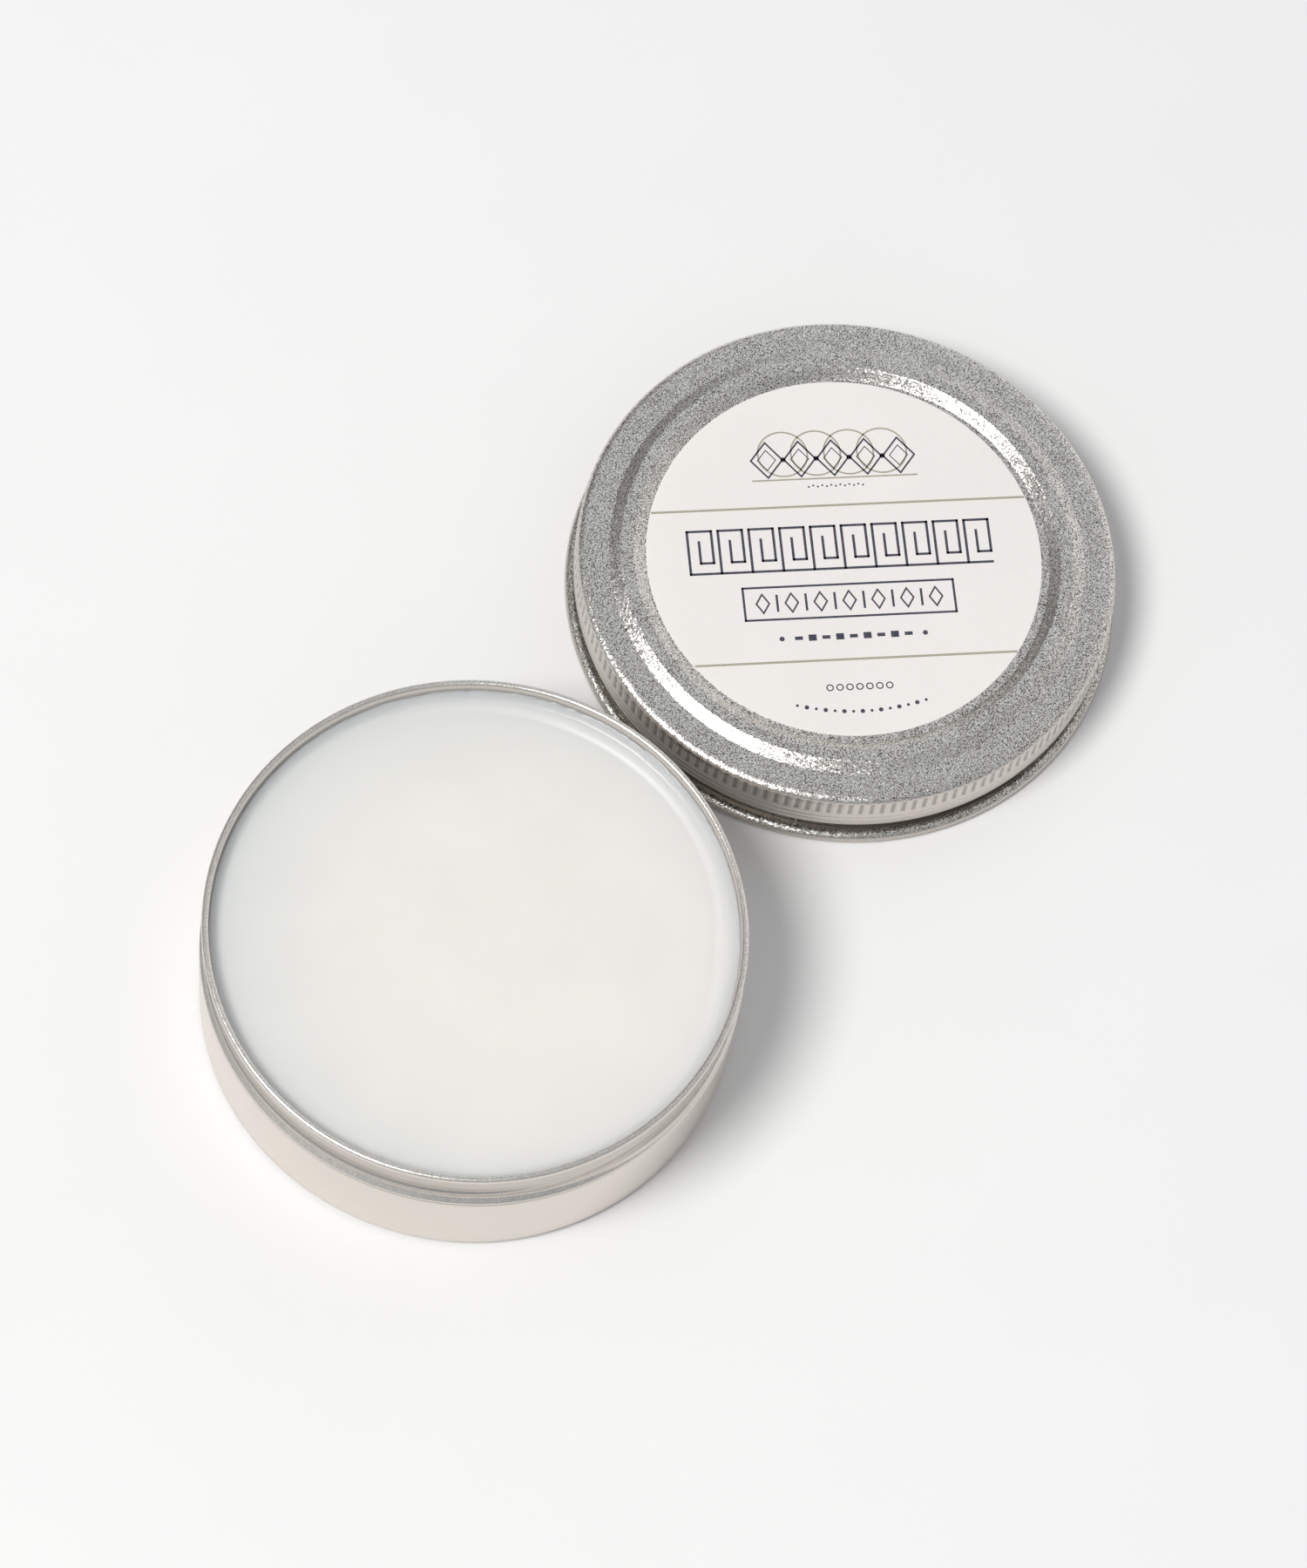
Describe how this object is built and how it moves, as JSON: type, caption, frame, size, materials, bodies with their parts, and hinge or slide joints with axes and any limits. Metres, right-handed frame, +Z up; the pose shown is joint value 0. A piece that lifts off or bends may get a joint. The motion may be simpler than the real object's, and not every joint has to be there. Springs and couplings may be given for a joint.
{
  "type": "shoe polish tin",
  "caption": "Round aluminium screw-top tin filled with white shoe polish, open, with its labelled lid lying flat beside it.",
  "frame": {"origin": "centre of the tin's flat underside, on the surface that it stands on", "axes": "+Z up along the tin's axis, +X from the tin's axis to the lid's axis"},
  "size_m": [0.1465, 0.0728, 0.0215],
  "materials": {
    "tin_metal": "satin, fine pressed grain",
    "lid_metal": "fine sparkling orange-peel grain",
    "polish_wax": "smooth white wax, slightly translucent",
    "liner_foam": "white polyethylene foam",
    "label_paper": "off-white coated paper with dark blue and pale gold print"
  },
  "bodies": {
    "tin": {"tin_body": "tin_metal", "polish": "polish_wax"},
    "liner": {"lid_liner": "liner_foam"},
    "lid": {"lid_shell": "lid_metal", "lid_label": "label_paper"}
  },
  "joints": [
    {"name": "lid_lift", "type": "slide", "parent": "tin", "child": "liner", "axis": [0, 0, 1], "range_m": [0, 0.04]},
    {"name": "lid_turn", "type": "hinge", "parent": "liner", "child": "lid", "pos_m": [0.07606, 0, 0], "axis": [0, 0, 1], "continuous": true}
  ]
}
